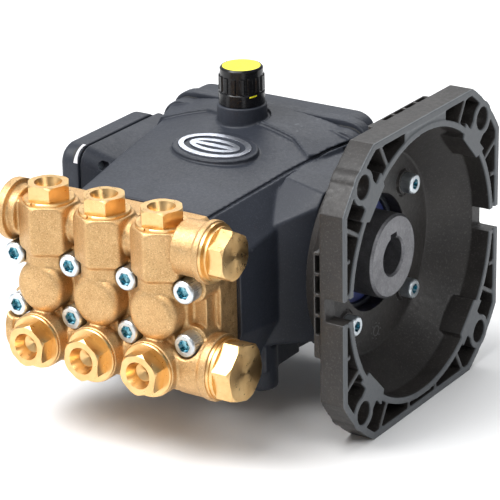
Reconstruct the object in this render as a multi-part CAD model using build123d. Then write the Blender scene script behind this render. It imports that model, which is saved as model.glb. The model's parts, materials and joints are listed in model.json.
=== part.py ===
from build123d import *
import math
import os

# Triplex plunger pump with a hollow shaft and a flange for an electric motor.
# Frame: origin on the crankshaft axis in the plane of the motor mounting face.
# +X points along the shaft towards the motor, -Y towards the brass manifold, +Z up.
# All lengths are millimetres.

# --- motor interface (IEC FF165 flange, 19 mm shaft) ---
BOLT_CIRCLE = 165.0
MOTOR_BOLT_D = 12.0
PILOT_R = 65.0
SHAFT_D = 19.0
KEY_W = 6.0
KEY_TOP = 12.3
FLANGE_HALF = 76.7
FLANGE_CORNER_R = 90.7
RIM_DEPTH = 13.5
RIM_WALL = 3.5
RING_IN_R = 68.2
RING_OUT_R = 71.4
POCKET_FLOOR = 3.0
PLATE_FACE_X = -28.5
PLATE_BACK_X = -35.5
PLATE_R = 52.5
PLATE_HOLE_R = 30.0
RIB_START_R = 68.0
COMB_BACK = 17.4
COMB_OUT_Y = 76.2
FLANGE_SCREW_OFF = 28.5
NOTCH_HALF = 6.0
NOTCH_DEPTH = 10.5
SIDE_WEB_Z = 24.7
LOW_WEB_Y = 13.5

# --- crank mechanism ---
THROW = 4.0
PITCH = 33.3
CYL_MID_X = -111.9
CYL_X = [CYL_MID_X + PITCH * i for i in (-1, 0, 1)]
THROW_ANGLES = [90.0, 210.0, 330.0]
PIN_R = 14.0
CORE_R = 9.9
ROD_LENGTH = 44.0
ROD_WIDTH = 18.0
HUB_R = 21.7
HUB_FACE_X = -17.5
BORE_DEPTH = 29.0
RUN = 0.05

# --- crankcase ---
CASE_X = -108.0
CASE_FRONT_Y = -85.3
CASE_REAR_Y = 26.0
CASE_RIGHT_X = -46.5
DRIVE_BOSS_R = 33.0
SCREW_BOSS_R = 8.0
SHOULDER_ROOT_X = -60.0
SHOULDER_TIP_X = -36.5
CASE_LEFT_X = -170.0
CAVITY_FRONT_Y = -30.5
GUIDE_R = 13.0
GUIDE_MID_Y = (-64.5, -31.5)
FOOT_X = 44.0
FOOT_Y = (-52.0, 12.0)
FOOT_Z = -60.5
FOOT_R = 9.0
NECK = (-111.7, 8.0)
SEAL_R = 27.5
SEAL_FACE_X = -37.5
NECK_BASE_Z = 57.0
NECK_R = 12.9
CAP_SKIRT_R = 11.9
CAP_DISC_R = 9.8
BADGE = (-106.0, -25.0)
SEAM_WIDTH = 1.4

# --- manifold ---
BLOCK_FRONT_Y = -100.0
BLOCK_HALF_X = 57.4
SCREW_ROW_Z = 13.6
SCREW_SEAT_Y = -112.5
SCREW_X = [CYL_MID_X + PITCH * i for i in (-1.5, -0.5, 0.5, 1.5)]
TOWER_Y = -111.8
TOWER_R = 15.9
TOWER_TOP_Z = 42.5
TOWER_LOW_Z = 17.0
DISCHARGE_Z = 33.8
SUCTION_Y = -107.0
SUCTION_Z = -26.8
SUCTION_FACE_Y = -126.8
PLUNGER_R = 7.5
CAP_AF = 19.6
CAP_COLLAR_R = 12.8
SUCTION_COLLAR_R = 13.7
CAP_THREAD_R = 10.9


def rod_x(radius, x0, x1, y=0.0, z=0.0):
    """Cylinder along X between two stations."""
    body = Cylinder(radius, abs(x1 - x0), rotation=(0, 90, 0))
    return Pos((x0 + x1) / 2, y, z) * body


def rod_y(radius, y0, y1, x=0.0, z=0.0):
    """Cylinder along Y between two stations."""
    body = Cylinder(radius, abs(y1 - y0), rotation=(90, 0, 0))
    return Pos(x, (y0 + y1) / 2, z) * body


def rod_z(radius, z0, z1, x=0.0, y=0.0):
    """Cylinder along Z between two stations."""
    return Pos(x, y, (z0 + z1) / 2) * Cylinder(radius, abs(z1 - z0))


def block(x0, x1, y0, y1, z0, z1):
    """Box between two corners."""
    size = Box(abs(x1 - x0), abs(y1 - y0), abs(z1 - z0))
    return Pos((x0 + x1) / 2, (y0 + y1) / 2, (z0 + z1) / 2) * size


def hex_prism(across_flats, height):
    """Hexagonal prism standing on the local XY plane, with a turned chamfer on its free end."""
    corner_r = across_flats / math.sqrt(3)
    prism = extrude(RegularPolygon(corner_r, 6), height)
    turned = Cylinder(corner_r, height, align=(Align.CENTER, Align.CENTER, Align.MIN))
    turned = chamfer(turned.edges().sort_by(Axis.Z)[-1], corner_r * 0.1)
    return prism & turned


def ring_z(outer, inner, z0, z1, x=0.0, y=0.0):
    """Flat ring with a vertical axis."""
    return rod_z(outer, z0, z1, x, y) - rod_z(inner, z0 - 1, z1 + 1, x, y)


def ring_x(outer, inner, x0, x1, y=0.0, z=0.0):
    """Flat ring with its axis along X."""
    return rod_x(outer, x0, x1, y, z) - rod_x(inner, min(x0, x1) - 1, max(x0, x1) + 1, y, z)


def ring_y(outer, inner, y0, y1, x=0.0, z=0.0):
    """Flat ring with its axis along Y."""
    return rod_y(outer, y0, y1, x, z) - rod_y(inner, min(y0, y1) - 1, max(y0, y1) + 1, x, z)


def socket_screw(head_r, head_h, shank_r, shank_l, socket_af):
    """Socket head screw; the head stands above the local XY plane and the shank hangs below it."""
    head = Cylinder(head_r, head_h, align=(Align.CENTER, Align.CENTER, Align.MIN))
    head = chamfer(head.edges().sort_by(Axis.Z)[-1], head_r * 0.1)
    socket = Pos(0, 0, head_h * 0.45) * extrude(RegularPolygon(socket_af / math.sqrt(3), 6), head_h)
    shank = Pos(0, 0, -shank_l) * Cylinder(shank_r, shank_l, align=(Align.CENTER, Align.CENTER, Align.MIN))
    return (head - socket) + shank


TO_PLUS_X = Rot(0, 90, 0)
TO_MINUS_X = Rot(0, -90, 0)
TO_MINUS_Y = Rot(90, 0, 0)
TO_PLUS_Y = Rot(-90, 0, 0)


# ---------------------------------------------------------------- motor flange
def flange_outline(inset=0.0):
    """Square with its corners rounded off by the large corner circle."""
    side = 2 * (FLANGE_HALF - inset)
    return Plane.YZ * (Rectangle(side, side) & Circle(FLANGE_CORNER_R - inset))


def flange_web(y0, z0, y1, z1, width=2.4):
    """Thin web across a pocket of the rim, from point to point."""
    length = math.hypot(y1 - y0, z1 - z0)
    angle = math.degrees(math.atan2(z1 - z0, y1 - y0))
    web = Box(RIM_DEPTH - 0.6, length, width)
    return Pos(-(RIM_DEPTH + 0.6) / 2, (y0 + y1) / 2, (z0 + z1) / 2) * Rot(angle, 0, 0) * web


def flange_lug(angle):
    """Pilot lug: a slanted-sided block on the ring, as deep as the dish there."""
    half_in = 10.0
    half_out = 13.5
    outer_r = RING_OUT_R + 1
    points = [(PILOT_R, -half_in), (PILOT_R, half_in), (outer_r, half_out), (outer_r, -half_out)]
    lug = extrude(Plane.YZ * make_face(Polyline(*points, close=True)), -16.0)
    return Rot(angle, 0, 0) * lug


def back_comb():
    """Bar with four open cells that stiffens the back of one side of the rim."""
    comb = block(-COMB_BACK, -RIM_DEPTH + 1, RIB_START_R, COMB_OUT_Y, -28.6, 26.0)
    comb = chamfer(comb.edges().filter_by(Axis.Y).sort_by(Axis.X)[:2], 0.8)
    for cell in range(4):
        z_low = -27.0 + 10.6 * cell
        comb -= block(-COMB_BACK + 0.9, -RIM_DEPTH, COMB_OUT_Y - 5.0, COMB_OUT_Y + 1, z_low, z_low + 9.0)
    return comb


def motor_flange():
    rim = extrude(flange_outline(), -RIM_DEPTH)
    pocket = extrude(flange_outline(RIM_WALL), RIM_DEPTH - POCKET_FLOOR)
    rim -= Pos(-(RIM_DEPTH - POCKET_FLOOR), 0, 0) * pocket
    for side in range(4):
        for offset in (-1, 1):
            rim += Rot(90 * side, 0, 0) * flange_web(61, offset * 34.5, FLANGE_HALF - 1, offset * 43)
        boss_at = 45 + 90 * side
        rim += Rot(boss_at, 0, 0) * rod_x(9.0, -RIM_DEPTH, 0, BOLT_CIRCLE / 2)
        rim += Rot(boss_at, 0, 0) * block(-RIM_DEPTH, 0, 70, 77, -7, 7)
    for side in (0, 2):
        for z_web in (-SIDE_WEB_Z, -NOTCH_HALF - 1.4, NOTCH_HALF + 1.4, SIDE_WEB_Z):
            rim += Rot(90 * side, 0, 0) * flange_web(69.5, z_web, FLANGE_HALF - 1, z_web)
    for y_web in (-LOW_WEB_Y, LOW_WEB_Y):
        rim += flange_web(y_web, -70.0, y_web, -FLANGE_HALF + 1)
    rim += block(-RIM_DEPTH, -0.4, -19, 21, RING_IN_R + 1, FLANGE_HALF - 1)
    rim -= rod_x(RING_OUT_R - 0.4, -RIM_DEPTH - 1, 1)
    profile = Polyline(
        (0, RING_IN_R),
        (0, RING_OUT_R),
        (-14.5, RING_OUT_R),
        (PLATE_BACK_X + 4.5, PLATE_R + 3.2),
        (PLATE_BACK_X, PLATE_R + 1.5),
        (PLATE_BACK_X, PLATE_HOLE_R),
        (PLATE_FACE_X, PLATE_HOLE_R),
        (PLATE_FACE_X, PLATE_R),
        (-10.5, RING_IN_R),
        close=True,
    )
    dish = revolve(make_face(profile), Axis.X)
    body = rim + dish
    for corner in range(4):
        body += flange_lug(45 + 90 * corner)
        boss = rod_x(6.2, PLATE_BACK_X, PLATE_FACE_X + 1.0, FLANGE_SCREW_OFF, FLANGE_SCREW_OFF)
        groove = ring_x(7.4, 6.2, PLATE_FACE_X - 0.9, PLATE_FACE_X + 0.2, FLANGE_SCREW_OFF, FLANGE_SCREW_OFF)
        body += Rot(90 * corner, 0, 0) * boss
        body -= Rot(90 * corner, 0, 0) * groove
        hole = rod_x(3.25, PLATE_BACK_X - 1, 0, FLANGE_SCREW_OFF, FLANGE_SCREW_OFF)
        body -= Rot(90 * corner, 0, 0) * hole
        body -= Rot(45 + 90 * corner, 0, 0) * rod_x(MOTOR_BOLT_D / 2, -20, 1, BOLT_CIRCLE / 2)
    body += block(PLATE_FACE_X - 3, PLATE_FACE_X + 1.2, -7, 7, 43.5, 52.0)
    for side in (-1, 1):
        notch = block(-NOTCH_DEPTH, 1, side * 60, side * 80, -NOTCH_HALF, NOTCH_HALF)
        body -= notch
    for side in range(4):
        body += Rot(90 * side, 0, 0) * back_comb()
    return body


def flange_screws():
    screw = TO_PLUS_X * socket_screw(5.0, 6.0, 3.0, 16.0, 5.0)
    seat = Pos(PLATE_FACE_X + 1.0, FLANGE_SCREW_OFF, FLANGE_SCREW_OFF)
    return [Rot(90 * i, 0, 0) * seat * screw for i in range(4)]


# ---------------------------------------------------------------- crankshaft and bearings
DRIVE_BEARING = {"x0": -51.5, "x1": -42.5, "outer": 23.5, "inner": 15.0}
END_BEARING = {"x0": -170.0, "x1": -158.0, "outer": 23.5, "inner": 12.5}


def throw_centre(index):
    angle = math.radians(THROW_ANGLES[index])
    return (-THROW * math.cos(angle), THROW * math.sin(angle))


def crankshaft():
    drive = DRIVE_BEARING
    end = END_BEARING
    hub = rod_x(HUB_R, HUB_FACE_X, drive["x1"])
    hub = chamfer(hub.edges().sort_by(Axis.X)[-1], 1.2)
    shaft = hub + rod_x(drive["inner"], drive["x0"], drive["x1"])
    shaft += rod_x(18.0, -68.6, drive["x0"])
    shaft += rod_x(CORE_R, -156.0, -68.0)
    shaft += rod_x(15.5, end["x1"], -155.5)
    shaft += rod_x(end["inner"], end["x0"] - 1.0, end["x1"])
    for index, x_throw in enumerate(CYL_X):
        y_pin, z_pin = throw_centre(index)
        shaft += rod_x(PIN_R, x_throw - 10.2, x_throw + 10.2, y_pin, z_pin)
        for side in (-1, 1):
            cheek_in = x_throw + side * 9.4
            shaft += rod_x(PIN_R + 2.0, cheek_in, cheek_in + side * 1.4, y_pin, z_pin)
    bore = rod_x(SHAFT_D / 2, HUB_FACE_X - BORE_DEPTH, HUB_FACE_X + 1)
    mouth = Pos(HUB_FACE_X - 0.5, 0, 0) * Rot(0, 90, 0) * Cone(SHAFT_D / 2, SHAFT_D / 2 + 1.0, 1.0)
    keyway = block(HUB_FACE_X - BORE_DEPTH, HUB_FACE_X + 1, -KEY_W / 2, KEY_W / 2, 0, KEY_TOP)
    return shaft - bore - mouth - keyway


def bearing(spec, balls):
    """Deep groove ball bearing along X: outer ring, inner ring, balls with their cage."""
    x_mid = (spec["x0"] + spec["x1"]) / 2
    mid_r = (spec["outer"] + spec["inner"]) / 2
    ball_r = (spec["outer"] - spec["inner"]) * 0.3
    land = (spec["outer"] - spec["inner"]) * 0.16
    groove = Pos(x_mid, 0, 0) * Rot(0, 90, 0) * Torus(mid_r, ball_r + 0.12)
    outer = ring_x(spec["outer"], mid_r + land, spec["x0"], spec["x1"]) - groove
    inner = ring_x(mid_r - land, spec["inner"], spec["x0"], spec["x1"]) - groove
    cage = ring_x(mid_r + 1.2, mid_r - 1.2, x_mid - ball_r * 0.7, x_mid + ball_r * 0.7)
    set_of_balls = []
    for i in range(balls):
        place = Rot(360 * i / balls, 0, 0) * Pos(x_mid, mid_r, 0)
        set_of_balls.append(place * Sphere(ball_r))
        cage -= place * Sphere(ball_r + 0.1)
    return outer, inner, set_of_balls + [cage]


# ---------------------------------------------------------------- rods and plungers
def wrist_y(index):
    return throw_centre(index)[0] - ROD_LENGTH


def connecting_rod(index):
    """Rod half with the small end and its wrist pin side; big end split on the pin axis."""
    x_rod = CYL_X[index]
    y_pin, z_pin = throw_centre(index)
    half = ROD_WIDTH / 2
    big = rod_x(PIN_R + 4.5, x_rod - half, x_rod + half, y_pin, z_pin)
    lugs = block(x_rod - 5, x_rod + 5, y_pin - 7, y_pin, z_pin - 21.5, z_pin + 21.5)
    shank = block(x_rod - 4.5, x_rod + 4.5, wrist_y(index), y_pin - PIN_R, z_pin - 4.2, z_pin + 4.2)
    small = rod_x(5.2, x_rod - 4.6, x_rod + 4.6, wrist_y(index), z_pin)
    body = big + lugs + shank + small
    body -= rod_x(PIN_R + RUN, x_rod - half - 1, x_rod + half + 1, y_pin, z_pin)
    body -= block(x_rod - 20, x_rod + 20, y_pin, y_pin + 40, -40, 40)
    body -= rod_x(3.0, x_rod - 8, x_rod + 8, wrist_y(index), z_pin)
    return body


def rod_cap(index):
    """Cap half of the split big end."""
    x_rod = CYL_X[index]
    y_pin, z_pin = throw_centre(index)
    half = ROD_WIDTH / 2
    cap = rod_x(PIN_R + 4.5, x_rod - half, x_rod + half, y_pin, z_pin)
    cap += block(x_rod - 5, x_rod + 5, y_pin, y_pin + 7, z_pin - 21.5, z_pin + 21.5)
    cap -= rod_x(PIN_R + RUN, x_rod - half - 1, x_rod + half + 1, y_pin, z_pin)
    cap -= block(x_rod - 20, x_rod + 20, y_pin - 40, y_pin, -40, 40)
    for side in (-1, 1):
        cap -= rod_y(2.05, y_pin - 1, y_pin + 9, x_rod, z_pin + side * 19.4)
    return cap


def rod_bolts(index):
    y_pin, z_pin = throw_centre(index)
    screw = TO_PLUS_Y * socket_screw(2.4, 2.5, 2.0, 7.0, 2.2)
    return [Pos(CYL_X[index], y_pin + 7, z_pin + side * 19.4) * screw for side in (-1, 1)]


def wrist_pin(index):
    return rod_x(3.0, CYL_X[index] - 6.0, CYL_X[index] + 6.0, wrist_y(index), throw_centre(index)[1])


def plunger_shift(index):
    return throw_centre(index)[0]


def plunger_guide(index):
    """Crosshead guide: a hollow piston open at the rear, with a slim nose in front."""
    shift = plunger_shift(index)
    x_cyl = CYL_X[index]
    front, rear = GUIDE_MID_Y
    body = rod_y(GUIDE_R, front + shift, rear + shift, x_cyl)
    body += rod_y(6.0, front - 9.5 + shift, front + shift, x_cyl)
    body -= rod_y(11.2, front + 4.2 + shift, rear + 1 + shift, x_cyl)
    body -= rod_y(2.5, front - 10 + shift, front + 4 + shift, x_cyl)
    return body


def plunger_sleeve(index):
    """Ceramic sleeve over the nose of the guide."""
    shift = plunger_shift(index)
    front = GUIDE_MID_Y[0] + shift
    return ring_y(PLUNGER_R, 2.5, front - 48.0, front - 9.5, CYL_X[index])


def plunger_bolt(index):
    """Bolt through the ceramic sleeve with its thick washer."""
    shift = plunger_shift(index)
    tip = GUIDE_MID_Y[0] + shift - 48.0
    bolt = rod_y(2.45, tip, GUIDE_MID_Y[0] + shift + 3, CYL_X[index])
    head = Pos(CYL_X[index], tip, 0) * TO_MINUS_Y * hex_prism(9.0, 3.4)
    washer = rod_y(6.6, tip - 0.8, tip, CYL_X[index])
    return bolt + head + washer


# ---------------------------------------------------------------- crankcase
def case_section(y, top_half, top_z, crown, side_half, side_top, side_low, low_half, low_z, radius):
    """Section of the crankcase at one station along Y: an arched top over slanted sides."""
    arch = ThreePointArc((-top_half, top_z), (0, top_z + crown), (top_half, top_z))
    points = [
        (top_half, top_z),
        (side_half, side_top),
        (side_half, side_low),
        (low_half, low_z),
        (-low_half, low_z),
        (-side_half, side_low),
        (-side_half, side_top),
        (-top_half, top_z),
    ]
    outline = make_face([arch, Polyline(*points)])
    rounded = fillet(outline.vertices(), radius)
    plane = Plane(origin=(CASE_X, y, 0), x_dir=(1, 0, 0), z_dir=(0, -1, 0))
    return plane * rounded


def case_body():
    """Tapering body: narrow shoulders at the manifold, wide at the rear cover."""
    front = case_section(CASE_FRONT_Y, 38, 38.6, 1.4, 55.5, 21, -19, 47, -41, 2.6)
    middle = case_section(-25.0, 46, 45.0, 3.6, 57.5, 30, -25, 47, -52, 3.0)
    neck = case_section(4.0, 50, 47.0, 8.0, 59.0, 34.5, -30, 48.5, -53, 3.2)
    rear = case_section(CASE_REAR_Y, 56, 49.0, 6.5, 60.0, 38, -34, 50, -54, 3.4)
    body = loft([front, middle], ruled=True)
    body += loft([middle, neck], ruled=True)
    return body + loft([neck, rear], ruled=True)


def raised_panel():
    """Raised field round the oil neck and along the rear edge."""
    front = case_section(-14.0, 48.5, 46.6, 6.6, 52, 40, 0, 47, -20, 1.5)
    neck = case_section(4.0, 51.5, 48.4, 8.2, 56, 40, 0, 48, -20, 1.5)
    rear = case_section(CASE_REAR_Y, 57, 50.6, 6.6, 61, 40, 0, 50, -20, 1.5)
    skin = loft([front, neck], ruled=True) + loft([neck, rear], ruled=True)
    left = [(-70, 26), (-70, 3), (-53, 3), (-46, 4), (-27, 10), (-12, 4)]
    right = [(12, 3), (32, 0), (46, -9), (52, 1), (70, 1), (70, 26)]
    field = [(CASE_X + x, y) for x, y in left + right]
    mask = Pos(0, 0, 25) * extrude(make_face(Polyline(*field, close=True)), 50)
    return skin & mask


def case_rear_flange():
    plane = Plane(origin=(CASE_X, CASE_REAR_Y, 0), x_dir=(1, 0, 0), z_dir=(0, -1, 0))
    outline = RectangleRounded(121.0, 108.0, 12.0)
    return extrude(plane * Pos(0, -1.0) * outline, 8.0)


def foot(x, y):
    """Foot column with a slanted web that ties it to the side of the case."""
    column = rod_z(FOOT_R, FOOT_Z, -38, x, y)
    column = chamfer(column.edges().sort_by(Axis.Z)[0], 0.8)
    return column + block(x - 8.2, x + 8.2, y - 7, min(y + 24, CASE_REAR_Y), -50, -36)


def badge_pad():
    tilt = Pos(BADGE[0], BADGE[1], 43.0) * Rot(7.5, 0, 0)
    return tilt * extrude(Ellipse(24.0, 15.5), 7.2)


def drive_boss():
    """Bearing boss on the drive side, with four posts for the flange screws."""
    boss = rod_x(DRIVE_BOSS_R, CASE_RIGHT_X, PLATE_BACK_X)
    for side, root in ((-1, CASE_RIGHT_X - 14), (1, CASE_RIGHT_X)):
        for height in (-FLANGE_SCREW_OFF, FLANGE_SCREW_OFF):
            boss += rod_x(SCREW_BOSS_R, root, PLATE_BACK_X, side * FLANGE_SCREW_OFF, height)
    pad = block(-62, CASE_RIGHT_X, -32, CASE_REAR_Y, -34, 34)
    return boss + chamfer(pad.faces().sort_by(Axis.X)[-1].edges(), 2.5)


def flare(sections, radius):
    """Loft between outlines across X, each given by its X station and its (y, z) corners."""
    faces = []
    for x, points in sections:
        outline = make_face(Polyline(*points, close=True))
        plane = Plane(origin=(x, 0, 0), x_dir=(0, 1, 0), z_dir=(1, 0, 0))
        faces.append(plane * fillet(outline.vertices(), radius))
    return loft(faces, ruled=True)


def shoulder():
    """Flared shoulder that carries the drive side of the case out to the flange."""
    root = [(-62, -36), (-62, 24), (-32, 44.4), (20, 46.5), (20, -36)]
    tip = [(-40, -36), (-40, 35), (-35, 41), (20, 44), (20, -36)]
    return flare([(SHOULDER_ROOT_X, root), (SHOULDER_TIP_X, tip)], 3.0)


def blind_boss():
    """Bearing housing on the blind side, which shrinks inwards into the slope of the case."""
    rear_y = CASE_REAR_Y - 1
    outer = [(-51.5, -40), (-51.5, 44.4), (rear_y, 44.4), (rear_y, -40)]
    inner = [(-42, -38), (-42, 33), (rear_y, 38), (rear_y, -38)]
    return flare([(CASE_LEFT_X - 2, outer), (-150, inner)], 9.0)


def crankcase():
    body = case_body() + raised_panel() + case_rear_flange() + badge_pad()
    body -= ring_z(14.6, 12.0, NECK_BASE_Z - 2.0, NECK_BASE_Z + 4.0, *NECK)
    body += rod_z(NECK_R, 40, NECK_BASE_Z + 6.0, *NECK)
    body += drive_boss() + shoulder()
    body += blind_boss()
    for side in (-1, 1):
        for y_foot in FOOT_Y:
            body += foot(CASE_X + side * FOOT_X, y_foot)
    body -= block(-157.5, -63.5, CAVITY_FRONT_Y, CASE_REAR_Y + 1, -34, 29)
    body -= block(-148, -63.5, CAVITY_FRONT_Y, CASE_REAR_Y + 1, -42, 37)
    body -= block(-155, -68, CASE_FRONT_Y - 1, -78, -34, 30)
    for x_cyl in CYL_X:
        body -= rod_y(GUIDE_R + RUN, -71.5, GUIDE_MID_Y[1] + THROW + 1, x_cyl)
        body -= rod_y(11.0, -79, -71, x_cyl)
    drive = DRIVE_BEARING
    end = END_BEARING
    body -= rod_x(drive["outer"], drive["x0"], drive["x1"] + 0.5)
    body -= rod_x(SEAL_R + RUN, drive["x1"] - 0.1, PLATE_BACK_X + 1)
    body -= rod_x(20.0, -64, drive["x0"] + 0.1)
    body -= rod_x(end["outer"], CASE_LEFT_X - 3, end["x1"])
    body -= rod_x(18.5, -159, -157)
    body -= rod_z(7.5, 30, NECK_BASE_Z + 7, *NECK)
    for corner in range(4):
        hole = rod_x(3.05, -44.5, PLATE_BACK_X + 1, FLANGE_SCREW_OFF, FLANGE_SCREW_OFF)
        body -= Rot(90 * corner, 0, 0) * hole
    for x_screw in SCREW_X:
        for side in (-1, 1):
            body -= rod_y(4.0, CASE_FRONT_Y - 1, -65, x_screw, side * SCREW_ROW_Z)
    for side in (-1, 1):
        for y_foot in FOOT_Y:
            body -= rod_z(3.4, FOOT_Z - 1, FOOT_Z + 14, CASE_X + side * FOOT_X, y_foot)
    body -= rod_x(9.0, CASE_LEFT_X - 3, -156, -38, -22)
    for groove in top_edge_grooves():
        body -= groove
    for x_hole, z_hole in COVER_SCREWS:
        body -= rod_y(3.0, CASE_REAR_Y - 14, CASE_REAR_Y + 1, x_hole, z_hole)
    for y_hole, z_hole in SIDE_SCREWS:
        body -= rod_x(2.5, CASE_LEFT_X - 3, -160, y_hole, z_hole)
    return body


def top_edge_grooves():
    """Narrow seam groove along the top edge on the drive side, in three straight runs."""
    corners = [
        (38.2, CASE_FRONT_Y - 1, 38.5),
        (46.0, -25.0, 45.2),
        (50.0, 4.0, 47.4),
        (54.5, CASE_REAR_Y - 8, 48.7),
    ]
    grooves = []
    for first, last in zip(corners, corners[1:]):
        run = [b - a for a, b in zip(first, last)]
        length = math.sqrt(sum(c * c for c in run))
        yaw = math.degrees(math.atan2(run[1], run[0]))
        rise = math.degrees(math.asin(run[2] / length))
        slot = Pos(length / 2, 0, 0) * Box(length + 0.6, 4.0, SEAM_WIDTH)
        start = Pos(CASE_X + first[0], first[1], first[2])
        grooves.append(start * Rot(0, 0, yaw) * Rot(0, -rise, 0) * Rot(-35, 0, 0) * slot)
    return grooves


# ---------------------------------------------------------------- covers
COVER_SCREWS = [(CASE_X + x, z) for x in (-53, -18, 18, 53) for z in (-48.5, 44.5)]
SIDE_SCREWS = [(-44.0, 35.0), (-44.0, -34.0), (13.0, 35.0), (13.0, -34.0)]
COVER_GASKET = 0.8


def rear_plane(y):
    return Plane(origin=(CASE_X, y, 0), x_dir=(1, 0, 0), z_dir=(0, -1, 0))


def rear_gasket():
    outline = RectangleRounded(121.0, 108.0, 12.0) - RectangleRounded(96.0, 88.0, 6.0)
    sheet = extrude(rear_plane(CASE_REAR_Y + COVER_GASKET) * Pos(0, -1.0) * outline, COVER_GASKET)
    for x_hole, z_hole in COVER_SCREWS:
        sheet -= rod_y(3.3, CASE_REAR_Y - 1, CASE_REAR_Y + 2, x_hole, z_hole)
    return sheet


def rear_cover():
    y0 = CASE_REAR_Y + COVER_GASKET
    plate = extrude(rear_plane(y0 + 7) * Pos(0, 0.4) * RectangleRounded(121.0, 111.2, 13.0), 7.0)
    bulge = extrude(rear_plane(y0 + 19) * Pos(0, 1.2) * RectangleRounded(112.0, 110.6, 12.0), 15.0)
    bulge = chamfer(bulge.faces().sort_by(Axis.Y)[-1].edges(), 3.0)
    body = plate + bulge
    body -= block(CASE_X - 47, CASE_X + 47, y0 - 1, y0 + 14, -43, 42)
    for x_hole, z_hole in COVER_SCREWS:
        body -= rod_y(3.3, y0 - 1, y0 + 25, x_hole, z_hole)
        body -= rod_y(6.6, y0 + 7, y0 + 25, x_hole, z_hole)
    body -= rod_y(10.0, y0 + 10, y0 + 25, CASE_X, 4.0)
    body -= rod_y(5.0, y0 - 1, y0 + 25, CASE_X, -35.0)
    for rib in range(5):
        z_rib = -24 + 12.0 * rib
        for side in (-1, 1):
            x_rib = CASE_X + side * 31
            body += block(x_rib - 14, x_rib + 14, y0 + 18, y0 + 20.2, z_rib - 1.2, z_rib + 1.2)
    return body


def rear_cover_screws():
    screw = TO_PLUS_Y * socket_screw(5.0, 6.0, 2.9, 19.0, 5.0)
    return [Pos(x, CASE_REAR_Y + COVER_GASKET + 7, z) * screw for x, z in COVER_SCREWS]


def sight_glass():
    y0 = CASE_REAR_Y + COVER_GASKET
    ring = ring_y(9.8, 7.0, y0 + 10, y0 + 20.5, CASE_X, 4.0)
    lens = rod_y(6.9, y0 + 12, y0 + 18.5, CASE_X, 4.0)
    return ring, lens


def drain_plug():
    y_seat = CASE_REAR_Y + COVER_GASKET + 19
    place = Pos(CASE_X, y_seat, -35.0)
    return place * (TO_PLUS_Y * hex_prism(13.0, 5.0)) + rod_y(4.9, y_seat - 9, y_seat, CASE_X, -35.0)


def side_cover():
    """Bearing cover on the blind side, a deep shell with a chamfered rim."""
    x0 = CASE_LEFT_X - 2.0
    plane = Plane(origin=(x0, 0, 0), x_dir=(0, 1, 0), z_dir=(1, 0, 0))
    points = [(-53, -42), (-53, 45.3), (12, 45.6), (25.5, 36), (25.5, -32), (15, -42)]
    outline = make_face(Polyline(*points, close=True))
    outline = fillet(outline.vertices().sort_by(Axis.Y)[:4], 5.0)
    outline = fillet(outline.vertices().sort_by(Axis.Y)[-2:], 10.0)
    body = extrude(plane * outline, -12.0)
    body = chamfer(body.faces().sort_by(Axis.X)[0].edges(), 2.5)
    body -= rod_x(19.0, x0 - 8.5, x0 + 1)
    for y_hole, z_hole in SIDE_SCREWS:
        body -= rod_x(2.8, x0 - 20, x0 + 1, y_hole, z_hole)
        body -= rod_x(5.0, x0 - 20, x0 - 8, y_hole, z_hole)
    return body


def side_cover_screws():
    screw = TO_MINUS_X * socket_screw(4.25, 5.0, 2.45, 16.0, 4.0)
    return [Pos(CASE_LEFT_X - 10.0, y, z) * screw for y, z in SIDE_SCREWS]


def rating_plate():
    """Blank plate riveted to the side cover."""
    plate = block(CASE_LEFT_X - 14.6, CASE_LEFT_X - 14.0, -36, 2, 4, 28)
    return fillet(plate.edges().filter_by(Axis.X), 2.0)


def badge_plate():
    """Plain two-ring oval inlay on the pad of the crankcase."""
    place = Pos(BADGE[0], BADGE[1], 43.0) * Rot(7.5, 0, 0)
    ring = extrude(Ellipse(20.5, 12.2) - Ellipse(17.6, 9.4), 8.0)
    bar = extrude(Rectangle(30.0, 2.6) & Ellipse(14.5, 6.0), 8.0)
    lozenge = extrude(Ellipse(14.5, 6.4) - Ellipse(11.5, 4.0), 8.0)
    whole = ring + bar + lozenge
    return [place * solid for solid in (whole - Pos(0, 0, 3.6) * Box(60, 60, 7.2)).solids()]


# ---------------------------------------------------------------- oil cap
def oil_cap():
    """Filler cap with grip pads, its threaded spigot and the dipstick below it."""
    z0 = NECK_BASE_Z + 6.3
    skirt = rod_z(CAP_SKIRT_R, z0, z0 + 6.4, *NECK)
    skirt = chamfer(skirt.edges().sort_by(Axis.Z)[-1], 0.5)
    crown = rod_z(CAP_SKIRT_R - 0.8, z0 + 6, z0 + 19.2, *NECK)
    crown = chamfer(crown.edges().sort_by(Axis.Z)[-1], 0.8)
    grip = rod_z(CAP_SKIRT_R - 0.1, z0 + 7.0, z0 + 14.8, *NECK)
    for i in range(16):
        flute = rod_z(1.35, z0 + 6.9, z0 + 15.0, CAP_SKIRT_R + 0.3, 0)
        grip -= Pos(*NECK, 0) * Rot(0, 0, 22.5 * i) * flute
    cap = skirt + crown + grip
    cap += rod_z(7.2, NECK_BASE_Z - 6, z0 + 1, *NECK)
    cap += rod_z(1.5, 12.0 + 16, NECK_BASE_Z - 5, *NECK)
    return cap - rod_z(CAP_DISC_R + 0.05, z0 + 18.4, z0 + 20, *NECK)


def oil_cap_disc():
    z0 = NECK_BASE_Z + 6.3
    return rod_z(CAP_DISC_R, z0 + 18.4, z0 + 19.2, *NECK)


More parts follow.
